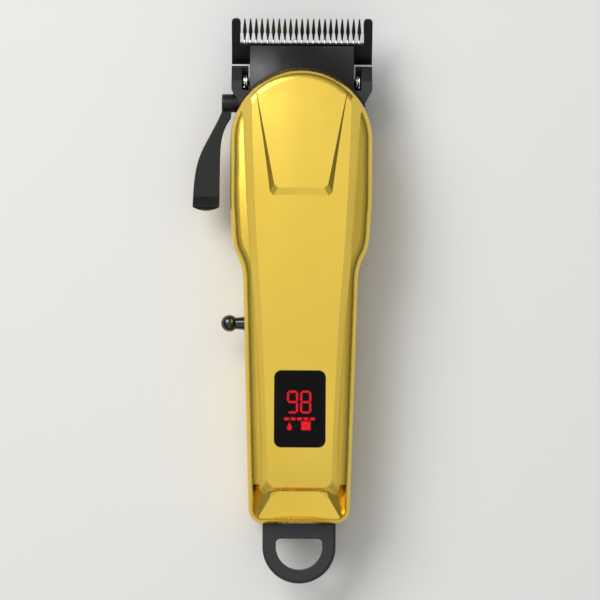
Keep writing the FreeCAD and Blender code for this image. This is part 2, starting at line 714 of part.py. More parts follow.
def nose_frame():
    """Black front frame: cheeks, rear wall, sloping floor, hood collar and lever bearing."""
    right = cheek()
    frame = right.fuse(mirrored(right))
    floor = [(58.1, 0.5), (65.7, 3.5), (65.7, 5.3), (58.1, 2.6)]
    frame = frame.fuse(prism_x(floor, -CHEEK_INNER - 0.5, CHEEK_INNER + 0.5))
    wall = box(-CHEEK_INNER - 0.5, CHEEK_INNER + 0.5, 58.1, 58.1 + FRAME_WALL_T, 0.8, SPLIT_Z)
    wall = wall.cut(box(-12.8, 12.8, 50, 70, 9, 30))
    frame = frame.fuse(wall)
    ring_r = HEAD_HALF + COLLAR_PROUD
    ring = rod_z(ring_r, COLLAR_LOW_Z, 40, 0, ARCH_Y).cut(rod_z(ring_r - COLLAR_T, 0, 50, 0, ARCH_Y))
    top = [(COLLAR_BACK_Y, 0), (COLLAR_BACK_Y, rim_z(COLLAR_BACK_Y) - 0.05), (90, rim_z(90) - 0.05), (90, 0)]
    ring = ring.common(prism_x(top, -40, 40))
    frame = frame.fuse(ring)
    ledge = rod_z(ring_r + 2.0, 18.5, 19.9, 0, ARCH_Y).cut(rod_z(ring_r - 1.0, 0, 50, 0, ARCH_Y))
    for side in (-1, 1):
        x0, x1 = sorted((side * 8.0, side * 16.5))
        frame = frame.fuse(ledge.common(box(x0, x1, 66, 90, 0, 40)))
    boss = rod_x(SHAFT_R + BEARING_WALL, -CHEEK_INNER - 1.0, SHAFT_END_X - 0.8, LEVER_Y, LEVER_Z)
    frame = frame.fuse(boss)
    frame = frame.cut(rod_x(SHAFT_R + RUN, -40, SHAFT_END_X + 1.0, LEVER_Y, LEVER_Z))
    frame = frame.cut(rod_x(HUB_R + 0.5, -40, HUB_X1 + 0.15, LEVER_Y, LEVER_Z))
    for side in (-1, 1):
        x0, x1 = sorted((side * (CHANNEL_INNER - 2.2), side * (CHANNEL_INNER + 1.0)))
        frame = frame.fuse(rod_x(1.3, x0, x1, SPRING_Y, SPRING_Z))
    return one_solid(frame)


def arch_points(radius, lower):
    """Points of the hood's arch between the nose cover's sides, following the rim."""
    swing = math.asin(COVER_HALF / radius)
    points = []
    for k in range(-4, 5):
        a = swing * k / 4
        y = ARCH_Y + radius * math.cos(a)
        points.append(V(radius * math.sin(a), y, rim_z(y) - lower))
    return points


def nose_cover():
    """Curved plate between the hood and the blade: straight in front, arched at the back."""
    radius = HEAD_HALF + COLLAR_PROUD + COVER_GAP
    arch = Part.BSplineCurve()
    arch.interpolate(arch_points(radius, 0.3))
    left = V(-COVER_HALF, COVER_FRONT_Y, COVER_FRONT_Z)
    front = Part.LineSegment(left, V(COVER_HALF, COVER_FRONT_Y, COVER_FRONT_Z))
    skin = Part.makeRuledSurface(front.toShape(), arch.toShape())
    cover = skin.extrude(V(0, 0, -COVER_T))
    pin_y = ARCH_Y + math.sqrt((radius + COVER_PIN_R + 0.2) ** 2 - COVER_PIN_X ** 2)
    for x in (-COVER_PIN_X, COVER_PIN_X):
        pin = rod_z(COVER_PIN_R, 19.95, 22.0, x, pin_y)
        cover = cover.fuse(pin.cut(skin.extrude(V(0, 0, 20))))
    return one_solid(cover)


# ---- blade set ----
def comb_teeth():
    """Row of pointed comb teeth in the blade plane's axes."""
    teeth = []
    for k in range(TEETH):
        x = (k - (TEETH - 1) / 2) * PITCH
        r = COMB_TOOTH_ROOT_W / 2
        t = COMB_TOOTH_TIP_W / 2
        loop = [(x - r, COMB_ROOT - 0.5), (x + r, COMB_ROOT - 0.5), (x + r, COMB_ROOT + 1.5),
                (x + t, COMB_LEN - 0.3), (x, COMB_LEN), (x - t, COMB_LEN - 0.3), (x - r, COMB_ROOT + 1.5)]
        teeth.append(prism_z(loop, -COMB_T, 0))
    return teeth


def fixed_blade():
    """Comb blade: plate, two side arms and the row of teeth, thinned towards the tips."""
    inner = COMB_HALF - ARM_W
    blade = box(-COMB_HALF, COMB_HALF, ARM_START, COMB_ROOT, -COMB_T, 0)
    blade = blade.fuse(box(-COMB_TAIL_HALF, COMB_TAIL_HALF, COMB_HEEL, ARM_START, -COMB_T, 0))
    for side in (-1, 1):
        x0, x1 = sorted((side * inner, side * COMB_HALF))
        arm = box(x0, x1, COMB_ROOT - 1, COMB_LEN, -COMB_T, 0)
        ends = [e for e in arm.Edges if e.CenterOfMass.y > COMB_LEN - 0.01 and e.Length < COMB_T + 0.01]
        blade = blade.fuse(arm.makeFillet(ARM_W * 0.42, ends))
    for tooth in comb_teeth():
        blade = blade.fuse(tooth)
    thin = [(COMB_ROOT - 3.0, -COMB_T), (COMB_LEN + 1, -COMB_TIP_T), (COMB_LEN + 1, -COMB_T - 2),
            (COMB_ROOT - 3.0, -COMB_T - 2)]
    blade = blade.cut(prism_x(thin, -40, 40))
    for side in (-1, 1):
        x = side * BLADE_SCREW_X
        blade = blade.cut(rod_z(BLADE_SCREW_R + 0.1, -5, 1, x, BLADE_SCREW_Y))
        blade = blade.cut(Part.makeCone(BLADE_SCREW_HEAD_R + 0.1, BLADE_SCREW_R + 0.1, 1.5,
                                        V(x, BLADE_SCREW_Y, -COMB_T), Z_AXIS))
    return to_blade(one_solid(blade))


def blade_screws():
    """Two countersunk screws from the blade's underside into the carrier."""
    screws = []
    for side in (-1, 1):
        x = side * BLADE_SCREW_X
        head = Part.makeCone(BLADE_SCREW_HEAD_R, BLADE_SCREW_R, 1.5, V(x, BLADE_SCREW_Y, -COMB_T), Z_AXIS)
        shank = rod_z(BLADE_SCREW_R, -COMB_T + 1.4, CARRIER_T - 0.2, x, BLADE_SCREW_Y)
        slot = box(x - 2.1, x + 2.1, BLADE_SCREW_Y - 0.35, BLADE_SCREW_Y + 0.35, -COMB_T - 1, -COMB_T + 0.6)
        screws.append(to_blade(one_solid(head.fuse(shank).cut(slot))))
    return Part.makeCompound(screws)


def eccentric_rest():
    """Rest position of the lever's eccentric pin: y, z."""
    a = math.radians(LEVER_SWING / 2)
    along = -ECC_R * math.sin(a)
    out = ECC_R * math.cos(a)
    return LEVER_Y + along * COS_T - out * SIN_T, LEVER_Z + along * SIN_T + out * COS_T


def blade_carrier():
    """Slide that carries the comb blade, with an upright lug slotted for the lever's eccentric pin."""
    plate = box(-CARRIER_HALF, CARRIER_HALF, CARRIER_BACK, CARRIER_FRONT, 0.0, CARRIER_T)
    for side in (-1, 1):
        plate = plate.cut(rod_z(BLADE_SCREW_R, -1, 5, side * BLADE_SCREW_X, BLADE_SCREW_Y))
    dy = LEVER_Y - HEEL_Y
    dz = LEVER_Z - HEEL_Z
    mid = dy * COS_T + dz * SIN_T
    height = -dy * SIN_T + dz * COS_T
    at = mid - ECC_R * math.sin(math.radians(LEVER_SWING / 2))
    low = height + ECC_R * math.cos(math.radians(LEVER_SWING / 2)) - ECC_PIN_R - 0.3
    high = height + ECC_R + ECC_PIN_R + 0.3
    half = ECC_PIN_R + RUN
    lug = box(LUG_X0, LUG_X1, at - half - LUG_WALL, at + half + LUG_WALL, CARRIER_T - 1.0, high + LUG_WALL)
    foot = [(at - half - LUG_WALL, 0.0), (CARRIER_BACK + 3.0, 0.0), (CARRIER_BACK + 3.0, CARRIER_T),
            (at + half + LUG_WALL, CARRIER_T + 2.0), (at - half - LUG_WALL, CARRIER_T + 2.0)]
    lug = lug.fuse(prism_x(foot, LUG_X0, LUG_X1))
    lug = lug.cut(box(LUG_X0 - 1, LUG_X1 + 1, at - half, at + half, low, high))
    return to_blade(one_solid(plate.fuse(lug)))


def moving_blade():
    """Cutter: bevelled bar with a groove between every two teeth, and the teeth themselves."""
    side = [(CUTTER_BAR_BACK, BLADE_GAP), (CUTTER_TIP, BLADE_GAP), (CUTTER_TIP, CUTTER_EDGE_T),
            (CUTTER_BAR_BACK + 0.8, CUTTER_CREST), (CUTTER_BAR_BACK, CUTTER_CREST - 0.2)]
    blade = prism_x(side, -CUTTER_HALF, CUTTER_HALF)
    fall = (CUTTER_EDGE_T - CUTTER_CREST) / (CUTTER_TIP - CUTTER_BAR_BACK - 0.8)
    r = (PITCH - CUTTER_TOOTH_ROOT_W) / 2
    t = (PITCH - CUTTER_TOOTH_TIP_W) / 2
    for k in range(TEETH):
        x = (k - (TEETH - 1) / 2) * PITCH
        past = CUTTER_TIP + 0.1
        gap = [(x - r, CUTTER_ROOT), (x - t, past), (x + t, past), (x + r, CUTTER_ROOT)]
        blade = blade.cut(prism_z(gap, -1, 4))
        section = Part.makePolygon([V(x - GROOVE_W, 0, 0.3), V(x, 0, -GROOVE_DEPTH), V(x + GROOVE_W, 0, 0.3),
                                    V(x - GROOVE_W, 0, 0.3)])
        section.translate(V(0, CUTTER_BAR_BACK + 0.2, CUTTER_CREST - 0.6 * fall))
        run = CUTTER_TIP - CUTTER_BAR_BACK
        groove = Part.Face(section).extrude(V(0, run, fall * run))
        blade = blade.cut(groove)
    return to_blade(one_solid(blade))


def cutter_base():
    """Black base behind the cutter, with two holes for the drive piece."""
    wide_back = CUTTER_BAR_BACK - CUTTER_BASE_BAR
    base = box(-CUTTER_TAIL_HALF, CUTTER_TAIL_HALF, CUTTER_BACK, wide_back, BLADE_GAP, CUTTER_T)
    base = base.fuse(box(-CUTTER_HALF, CUTTER_HALF, wide_back, CUTTER_BAR_BACK, BLADE_GAP, CUTTER_T + 0.5))
    for x in (-3.2, 3.2):
        base = base.cut(rod_z(0.9, -1, 4, x, CUTTER_BACK + 2.0))
    return to_blade(one_solid(base))


def blade_follower():
    """Plastic drive piece: seated on the cutter's tail, with a slotted arm around the cam pin."""
    base = box(-9.0, 9.0, CUTTER_BACK + 0.4, CUTTER_BACK + 3.8, CUTTER_T, CUTTER_T + 1.3)
    for x in (-3.2, 3.2):
        base = base.fuse(rod_z(0.88, 0.1, CUTTER_T + 0.5, x, CUTTER_BACK + 2.0))
    base = to_blade(base)
    slot = CAM_PIN_R + 2 * STROKE + RUN
    half = slot + 1.7
    front = HEEL_Y + 8.4
    arm_side = [(65.6, 13.4), (65.6, 20.4), (69.2, 20.4), (73.0, 16.6), (front, 16.6), (front, 14.9),
                (front - 3.7, 13.6), (front - 4.7, 13.4)]
    arm = prism_x(arm_side, -half, half)
    top = MOTOR_Z + STROKE + CAM_PIN_R + 0.4
    low = MOTOR_Z - STROKE - CAM_PIN_R - 0.4
    arm = arm.cut(box(-slot, slot, 60, 69.0, low, top))
    arm = arm.cut(half_space(V(0, HEEL_Y, blade_z(HEEL_Y, CUTTER_T)), V(0, SIN_T, -COS_T)))
    return one_solid(base.fuse(arm))


def blade_spring():
    """Wire spring: a coil in each channel and a bridge that presses on the drive piece."""
    coils = []
    for side in (-1, 1):
        for k in range(2):
            centre = V(side * (18.5 + k * 0.78), SPRING_Y, SPRING_Z)
            ring = Part.makeTorus(SPRING_R, SPRING_WIRE, centre, X_AXIS)
            coils.append(ring)
    bridge = [V(-18.5, SPRING_Y, SPRING_Z + SPRING_R), V(-17.0, SPRING_Y + 1.2, SPRING_Z + 1.4),
              V(-8.0, SPRING_BRIDGE_Y, SPRING_BRIDGE_Z), V(8.0, SPRING_BRIDGE_Y, SPRING_BRIDGE_Z),
              V(17.0, SPRING_Y + 1.2, SPRING_Z + 1.4), V(18.5, SPRING_Y, SPRING_Z + SPRING_R)]
    spring = wire_run(bridge, SPRING_WIRE)
    for coil in coils:
        spring = spring.fuse(coil)
    for side in (-1, 1):
        foot = V(side * 19.28, SPRING_Y - SPRING_R, SPRING_Z)
        tail = [foot, foot + V(0, 0, 2.6)]
        spring = spring.fuse(wire_run(tail, SPRING_WIRE))
    return one_solid(spring)


# ---- taper lever ----
def taper_lever():
    """Flared lever arm with a thumb bar and a round hub."""
    outer = Part.BSplineCurve()
    outer.interpolate([V(-26.8, 63.6, 0), V(-31.2, 54.6, 0), V(-34.4, 47.8, 0), V(-35.9, 41, 0),
                       V(-36.5, LEVER_END_Y + 1.2, 0)])
    inner = Part.BSplineCurve()
    inner.interpolate([V(-23.9, 61.0, 0), V(-27.0, 53.4, 0), V(-27.4, 48, 0), V(-27.5, 38, 0),
                       V(-27.6, LEVER_END_Y + 1.2, 0)])
    tip = Part.Arc(V(-36.5, LEVER_END_Y + 1.2, 0), V(-32.0, LEVER_END_Y, 0), V(-27.6, LEVER_END_Y + 1.2, 0))
    root = Part.makePolygon([V(-26.8, 63.6, 0), V(-26.6, 65.6, 0), V(-23.4, 65.6, 0), V(-23.9, 61.0, 0)])
    edges = [outer.toShape(), inner.toShape(), tip.toShape()] + root.Edges
    face = Part.Face(Part.Wire(Part.__sortEdges__(edges)))
    face.translate(V(0, 0, LEVER_Z - LEVER_T / 2))
    arm = face.extrude(V(0, 0, LEVER_T))
    thumb_side = [(LEVER_END_Y, LEVER_Z), (LEVER_END_Y + 0.4, LEVER_Z + THUMB_H - 0.8),
                  (LEVER_END_Y + 1.6, LEVER_Z + THUMB_H),
                  (LEVER_END_Y + THUMB_LEN, LEVER_Z + LEVER_T / 2 + 0.2),
                  (LEVER_END_Y + THUMB_LEN + 0.8, LEVER_Z)]
    face.translate(V(0, 0, 0.4))
    thumb = prism_x(thumb_side, -40, -20).common(face.extrude(V(0, 0, 20)))
    hub = rod_x(HUB_R, HUB_X0, HUB_X1, LEVER_Y, LEVER_Z)
    rim = [e for e in hub.Edges if e.Closed and e.CenterOfMass.x < HUB_X0 + 0.1]
    hub = hub.makeFillet(0.6, rim)
    lever = arm.fuse(thumb).fuse(hub)
    lever = lever.cut(rod_x(1.7, HUB_X0 + 2.4, HUB_X1 + 1, LEVER_Y, LEVER_Z))
    lever = lever.cut(rod_x(2.2, HUB_X0 - 1, HUB_X0 + 1.0, LEVER_Y, LEVER_Z))
    return one_solid(lever.cut(rod_x(0.9, HUB_X0 - 1, HUB_X1 + 1, LEVER_Y, LEVER_Z)))


def lever_shaft():
    """Stepped shaft through the left cheek with an eccentric pin at its inner end."""
    shaft = rod_x(SHAFT_R, HUB_X1 + 0.05, SHAFT_END_X, LEVER_Y, LEVER_Z)
    shaft = shaft.fuse(rod_x(1.7, HUB_X0 + 2.4, HUB_X1 + 0.1, LEVER_Y, LEVER_Z))
    y, z = eccentric_rest()
    shaft = shaft.fuse(rod_x(ECC_R + ECC_PIN_R + 0.3, SHAFT_END_X - 0.6, SHAFT_END_X, LEVER_Y, LEVER_Z))
    shaft = shaft.fuse(rod_x(ECC_PIN_R, SHAFT_END_X - 0.1, ECC_PIN_END_X, y, z))
    return one_solid(shaft.cut(rod_x(0.9, -40, HUB_X1 + 3, LEVER_Y, LEVER_Z)))


def lever_screw():
    """Screw that holds the lever on its shaft."""
    head = rod_x(2.1, HUB_X0 + 0.1, HUB_X0 + 1.0, LEVER_Y, LEVER_Z)
    slot = box(HUB_X0 - 1, HUB_X0 + 0.5, LEVER_Y - 1.6, LEVER_Y + 1.6, LEVER_Z - 0.3, LEVER_Z + 0.3)
    head = head.cut(slot)
    return one_solid(head.fuse(rod_x(0.88, HUB_X0 + 0.9, HUB_X1 + 2.8, LEVER_Y, LEVER_Z)))


# ---- drive ----
def motor_can():
    """Steel can, open at the back, with a bearing hub in front."""
    can = rod_y(MOTOR_R, MOTOR_Y0, MOTOR_Y1, 0, MOTOR_Z)
    can = can.cut(rod_y(MOTOR_R - CAN_T, MOTOR_Y0 - 1, MOTOR_Y1 - 1.4, 0, MOTOR_Z))
    can = can.fuse(rod_y(4.0, MOTOR_Y1 - 1.4, MOTOR_Y1 + 2.0, 0, MOTOR_Z))
    for x in (-8.0, 8.0):
        can = can.cut(rod_y(1.0, MOTOR_Y1 - 3, MOTOR_Y1 + 1, x, MOTOR_Z))
    return one_solid(can.cut(rod_y(MOTOR_SHAFT_R + RUN, 0, 60, 0, MOTOR_Z)))


def motor_end_cap():
    """Plastic end cap with the rear bearing and two terminals."""
    cap = rod_y(MOTOR_R, MOTOR_Y0 - 3.0, MOTOR_Y0, 0, MOTOR_Z)
    cap = cap.fuse(rod_y(MOTOR_R - CAN_T - 0.05, MOTOR_Y0 - 0.5, MOTOR_Y0 + 1.8, 0, MOTOR_Z))
    for x in (-6.0, 6.0):
        cap = cap.fuse(box(x - 1.0, x + 1.0, MOTOR_Y0 - 5.0, MOTOR_Y0 - 2.5, MOTOR_Z + 3.0, MOTOR_Z + 3.5))
    return one_solid(cap.cut(rod_y(MOTOR_SHAFT_R + RUN, 0, 60, 0, MOTOR_Z)))


def motor_mount():
    """Plate that carries the motor, screwed to the front of its can."""
    shape = [(-16.5, 4.0), (16.5, 4.0), (16.5, 22.0), (11.0, 29.0), (-11.0, 29.0), (-16.5, 22.0)]
    loop = [V(x, MOTOR_Y1 + 0.02, z) for x, z in shape]
    loop.append(loop[0])
    plate = Part.Face(Part.makePolygon(loop)).extrude(V(0, 2.0, 0))
    plate = plate.cut(rod_y(4.1, 0, 80, 0, MOTOR_Z))
    for x in (-8.0, 8.0):
        plate = plate.cut(rod_y(1.1, 0, 80, x, MOTOR_Z))
    return one_solid(plate)


def motor_screws():
    """Two screws through the mount into the can."""
    screws = []
    y = MOTOR_Y1 + 2.04
    for x in (-8.0, 8.0):
        screw = rod_y(2.0, y, y + 1.3, x, MOTOR_Z).fuse(rod_y(0.98, MOTOR_Y1 - 1.3, y + 0.2, x, MOTOR_Z))
        screw = screw.cut(box(x - 1.5, x + 1.5, y + 0.7, y + 3, MOTOR_Z - 0.3, MOTOR_Z + 0.3))
        screws.append(one_solid(screw))
    return Part.makeCompound(screws)


def motor_shaft():
    """Motor shaft."""
    return rod_y(MOTOR_SHAFT_R, MOTOR_Y0 - 4.0, CAM_Y1 - 0.8, 0, MOTOR_Z)


def armature():
    """Armature on the shaft, three poles."""
    core = rod_y(4.5, 25.0, 44.0, 0, MOTOR_Z)
    for k in range(3):
        pole = box(-2.0, 2.0, 25.0, 44.0, MOTOR_Z + 2.0, MOTOR_Z + 9.6)
        shoe = box(-6.6, 6.6, 25.0, 44.0, MOTOR_Z + 7.6, MOTOR_Z + 9.6)
        arm = pole.fuse(shoe).common(rod_y(9.6, 25.0, 44.0, 0, MOTOR_Z))
        arm.rotate(V(0, 0, MOTOR_Z), Y_AXIS, 120 * k)
        core = core.fuse(arm)
    core = core.fuse(rod_y(3.0, 43.0, 47.0, 0, MOTOR_Z))
    return one_solid(core.cut(rod_y(MOTOR_SHAFT_R, 0, 60, 0, MOTOR_Z)))


def eccentric_cam():
    """Balanced cam disc on the motor shaft."""
    cam = rod_y(CAM_R, CAM_Y0, CAM_Y1, 0, MOTOR_Z)
    cam = cam.cut(box(-3.4, 3.4, CAM_Y0 - 1, CAM_Y0 + 1.6, MOTOR_Z + 2.0, MOTOR_Z + 8))
    cam = cam.cut(rod_y(MOTOR_SHAFT_R, 0, CAM_Y1 - 0.8, 0, MOTOR_Z))
    return one_solid(cam.cut(rod_y(CAM_PIN_R, CAM_Y1 - 0.7, 90, 0, MOTOR_Z + STROKE)))


def cam_pin():
    """Pin set off the shaft's axis by the cutter's stroke."""
    return rod_y(CAM_PIN_R, CAM_Y1 - 0.7, CAM_PIN_END, 0, MOTOR_Z + STROKE)


# ---- power ----
def battery_cell():
    """Round cell with a raised button at its front end."""
    cell = rod_y(CELL_R, CELL_Y0, CELL_Y1, 0, CELL_Z)
    rims = [e for e in cell.Edges if e.Closed]
    cell = cell.makeFillet(0.7, rims)
    return one_solid(cell.fuse(rod_y(3.2, CELL_Y1 - 0.5, CELL_Y1 + 0.8, 0, CELL_Z)))


def battery_tab(y):
    """Nickel strip across one end of the cell."""
    return box(-2.5, 2.5, y, y + 0.3, CELL_Z - 3, CELL_Z + 8)


def lead(points):
    """Insulated lead through a list of points."""
    return wire_run([V(*p) for p in points], 0.6)


def inner_frame():
    """Plastic cradle for the cell and the motor."""
    frame = box(-12.5, 12.5, CELL_Y0 - 2.5, 50.0, WALL + 0.2, 3.3)
    for y in (CELL_Y0 + 7.0, -26.0, 0.0):
        rib = box(-12.5, 12.5, y, y + 2.0, WALL + 0.2, CELL_Z)
        rib = rib.cut(rod_y(CELL_R + 0.05, -90, 90, 0, CELL_Z))
        if abs(y - TOGGLE_Y) < 8.0:
            rib = rib.cut(box(-20, -9.0, -20, 4, 3.3, 30))
        frame = frame.fuse(rib)
    for y in (24.0, 44.0):
        rib = box(-13.6, 13.6, y, y + 2.0, WALL + 0.2, MOTOR_Z)
        rib = rib.cut(rod_y(MOTOR_R + 0.05, -90, 90, 0, MOTOR_Z))
        frame = frame.fuse(rib)
    return one_solid(frame)


def charge_socket():
    """Round charging socket in the tail."""
    body = box(-4.5, 4.5, TAIL_Y + WALL + 0.1, TAIL_Y + 11.5, SOCKET_Z - 3.4, SOCKET_Z + 4.4)
    body = body.fuse(rod_y(SOCKET_NOSE_R, TAIL_Y + 0.1, TAIL_Y + 4, 0, SOCKET_Z))
    return one_solid(body.cut(rod_y(SOCKET_R, TAIL_Y - 1, TAIL_Y + 0.1 + SOCKET_DEPTH, 0, SOCKET_Z)))


def charge_board():
    """Small board under the socket."""
    board = box(-7.6, 7.6, TAIL_Y + 4.0, TAIL_Y + 14.9, WALL + 0.6, 3.6)
    return one_solid(board.fuse(box(4.8, 7.2, TAIL_Y + 8.9, TAIL_Y + 12.4, 3.5, 4.9)))


def hanging_loop():
    """D-shaped loop with a T-shaped root held between the two halves."""
    top = TAIL_Y - 0.3
    cy = LOOP_END_Y + LOOP_HALF
    reach = box(-LOOP_HALF - 1, LOOP_HALF + 1, LOOP_END_Y - 1, top, LOOP_Z0, LOOP_Z1)
    ring = rod_z(LOOP_HALF, LOOP_Z0, LOOP_Z1, 0, cy)
    ring = ring.fuse(box(-LOOP_HALF, LOOP_HALF, cy, top, LOOP_Z0, LOOP_Z1))
    ring = ring.common(reach).removeSplitter()
    rims = []
    for e in ring.Edges:
        level = e.CenterOfMass.z
        if abs(level - (LOOP_Z0 + LOOP_Z1) / 2) > 1.0 and e.CenterOfMass.y < top - 0.1:
            rims.append(e)
    ring = ring.makeFillet(LOOP_ROUND, rims)
    hole = rod_z(LOOP_HOLE_HALF, 0, 40, 0, cy)
    hole = hole.common(box(-LOOP_HALF, LOOP_HALF, -100, cy + 0.5, 0, 40))
    hole = hole.fuse(rounded_plate(LOOP_HOLE_HALF, cy - 2.5, LOOP_HOLE_Y, 1.6, 0, 40))
    ring = ring.cut(hole)
    root = box(-LOOP_ROOT_HALF, LOOP_ROOT_HALF, top - 1.0, TAIL_Y + 3.0, LOOP_Z0 + 0.1, LOOP_Z1)
    tee = box(-8.5, 8.5, TAIL_Y + WALL + 0.2, TAIL_Y + 4.0, LOOP_Z0 + 0.1, LOOP_Z1)
    return one_solid(ring.fuse(root).fuse(tee))


def case_screws():
    """Four screws from the back into the upper half."""
    screws = []
    for x, y in SCREWS:
        screw = rod_z(SCREW_HEAD_R, SCREW_HEAD_Z, SCREW_HEAD_Z + 1.98, x, y)
        screw = screw.fuse(rod_z(SCREW_R - 0.02, SCREW_HEAD_Z + 1.5, SCREW_TIP_Z, x, y))
        for turn in (0, 90):
            slot = box(-1.4, 1.4, -0.3, 0.3, SCREW_HEAD_Z - 1, SCREW_HEAD_Z + 0.9)
            slot.rotate(ORIGIN, Z_AXIS, turn)
            slot.translate(V(x, y, 0))
            screw = screw.cut(slot)
        screws.append(one_solid(screw))
    return Part.makeCompound(screws)


def leads():
    """The four insulated leads, by node name."""
    cell_top = CELL_Z + 7.6
    return {
        "battery_lead_rear": lead([(4.0, CELL_Y0 - 1.2, cell_top), (8.0, CELL_Y0 - 0.6, 22.0),
                                   (10.6, CELL_Y0 + 7.0, 22.6), (10.6, CELL_Y0 + 27.0, 22.8),
                                   (6.0, WINDOW_Y1 + 2.8, 24.6)]),
        "battery_lead_front": lead([(0.0, CELL_Y1 + 2.0, cell_top), (0.0, 8.0, 23.4), (0.0, -12.0, 24.6)]),
        "motor_lead_left": lead([(-6.0, MOTOR_Y0 - 5.8, 20.4), (-8.0, 10.0, 23.5), (-8.0, -10.0, 24.6)]),
        "motor_lead_right": lead([(6.0, MOTOR_Y0 - 5.8, 20.4), (8.0, 10.0, 23.5), (8.0, -10.0, 24.6)]),
    }


def all_parts():
    """Every piece of the clipper by node name."""
    parts = {
        "upper_shell": upper_shell(), "lower_shell": lower_shell(), "nose_frame": nose_frame(),
        "nose_cover": nose_cover(), "inner_frame": inner_frame(), "display_window": display_window(),
        "display_mask": display_mask(), "display_light": display_light(), "display_board": display_board(),
        "board_screws": board_screws(), "battery_cell": battery_cell(),
        "battery_tab_rear": battery_tab(CELL_Y0 - 0.32), "battery_tab_front": battery_tab(CELL_Y1 + 0.82),
        "motor_can": motor_can(), "motor_end_cap": motor_end_cap(), "motor_mount": motor_mount(),
        "motor_screws": motor_screws(), "motor_shaft": motor_shaft(), "armature": armature(),
        "eccentric_cam": eccentric_cam(), "cam_pin": cam_pin(), "fixed_blade": fixed_blade(),
        "blade_carrier": blade_carrier(), "blade_screws": blade_screws(), "moving_blade": moving_blade(),
        "cutter_base": cutter_base(),
        "blade_follower": blade_follower(), "blade_spring": blade_spring(), "taper_lever": taper_lever(),
        "lever_shaft": lever_shaft(), "lever_screw": lever_screw(), "power_toggle": power_toggle(),
        "toggle_collar": toggle_collar(), "switch_body": switch_body(), "toggle_pin": toggle_pin(),
        "hanging_loop": hanging_loop(), "charge_socket": charge_socket(), "charge_board": charge_board(),
        "case_screws": case_screws(),
    }
    parts.update(leads())
    return parts


os.makedirs("parts", exist_ok=True)
for node, shape in all_parts().items():
    shape.exportStep("parts/" + node + ".step")
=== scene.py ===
import math

import bpy
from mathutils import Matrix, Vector

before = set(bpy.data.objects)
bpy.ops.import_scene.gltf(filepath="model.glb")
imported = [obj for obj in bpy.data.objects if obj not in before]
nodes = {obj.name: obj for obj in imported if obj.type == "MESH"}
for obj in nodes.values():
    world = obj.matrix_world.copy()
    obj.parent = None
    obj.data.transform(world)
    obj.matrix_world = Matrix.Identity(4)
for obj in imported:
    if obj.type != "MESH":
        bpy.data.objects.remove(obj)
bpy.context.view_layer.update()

SCENE = bpy.context.scene

# Lengths are in metres unless a name or comment says otherwise.
# ---- surface detail ----
GRAIN_HEIGHT = 0.0002
BEVEL_SAMPLES = 6

# ---- floor and camera ----
FLOOR_HALF = 4.0
FLOOR_DROP = 0.0002
CAMERA_DISTANCE = 1.2
PICTURE_WIDTH = 0.2
PICTURE_WIDTH_Z = 0.027  # height at which the picture is PICTURE_WIDTH wide
SENSOR_MM = 36.0
CAMERA_X = -0.00017
CAMERA_ROLL_DEG = 0.35
NEAR_CLIP = 0.01

# ---- studio light ----
# The sky's brightness rises from SKY_LOW to SKY_HIGH between these two shares of its height.
SKY_LOW = 0.05
SKY_HIGH = 0.56
SKY_START = 0.1
SKY_STOP = 0.9
# name, place, size, watts
LAMPS = [
    ("key", (-0.75, 0.75, 1.1), (0.9, 0.9), 17.5),
    ("overhead", (0.0, 0.15, 1.5), (1.15, 1.15), 1.5),
    ("tail", (0.0, -1.25, 1.15), (1.0, 0.8), 1.3),
]


# ---- material helpers ----
def linear(r, g, b):
    """sRGB 0 to 255 as linear colour."""
    out = []
    for v in (r, g, b):
        v = v / 255
        out.append(v / 12.92 if v <= 0.04045 else ((v + 0.055) / 1.055) ** 2.4)
    return tuple(out) + (1.0,)


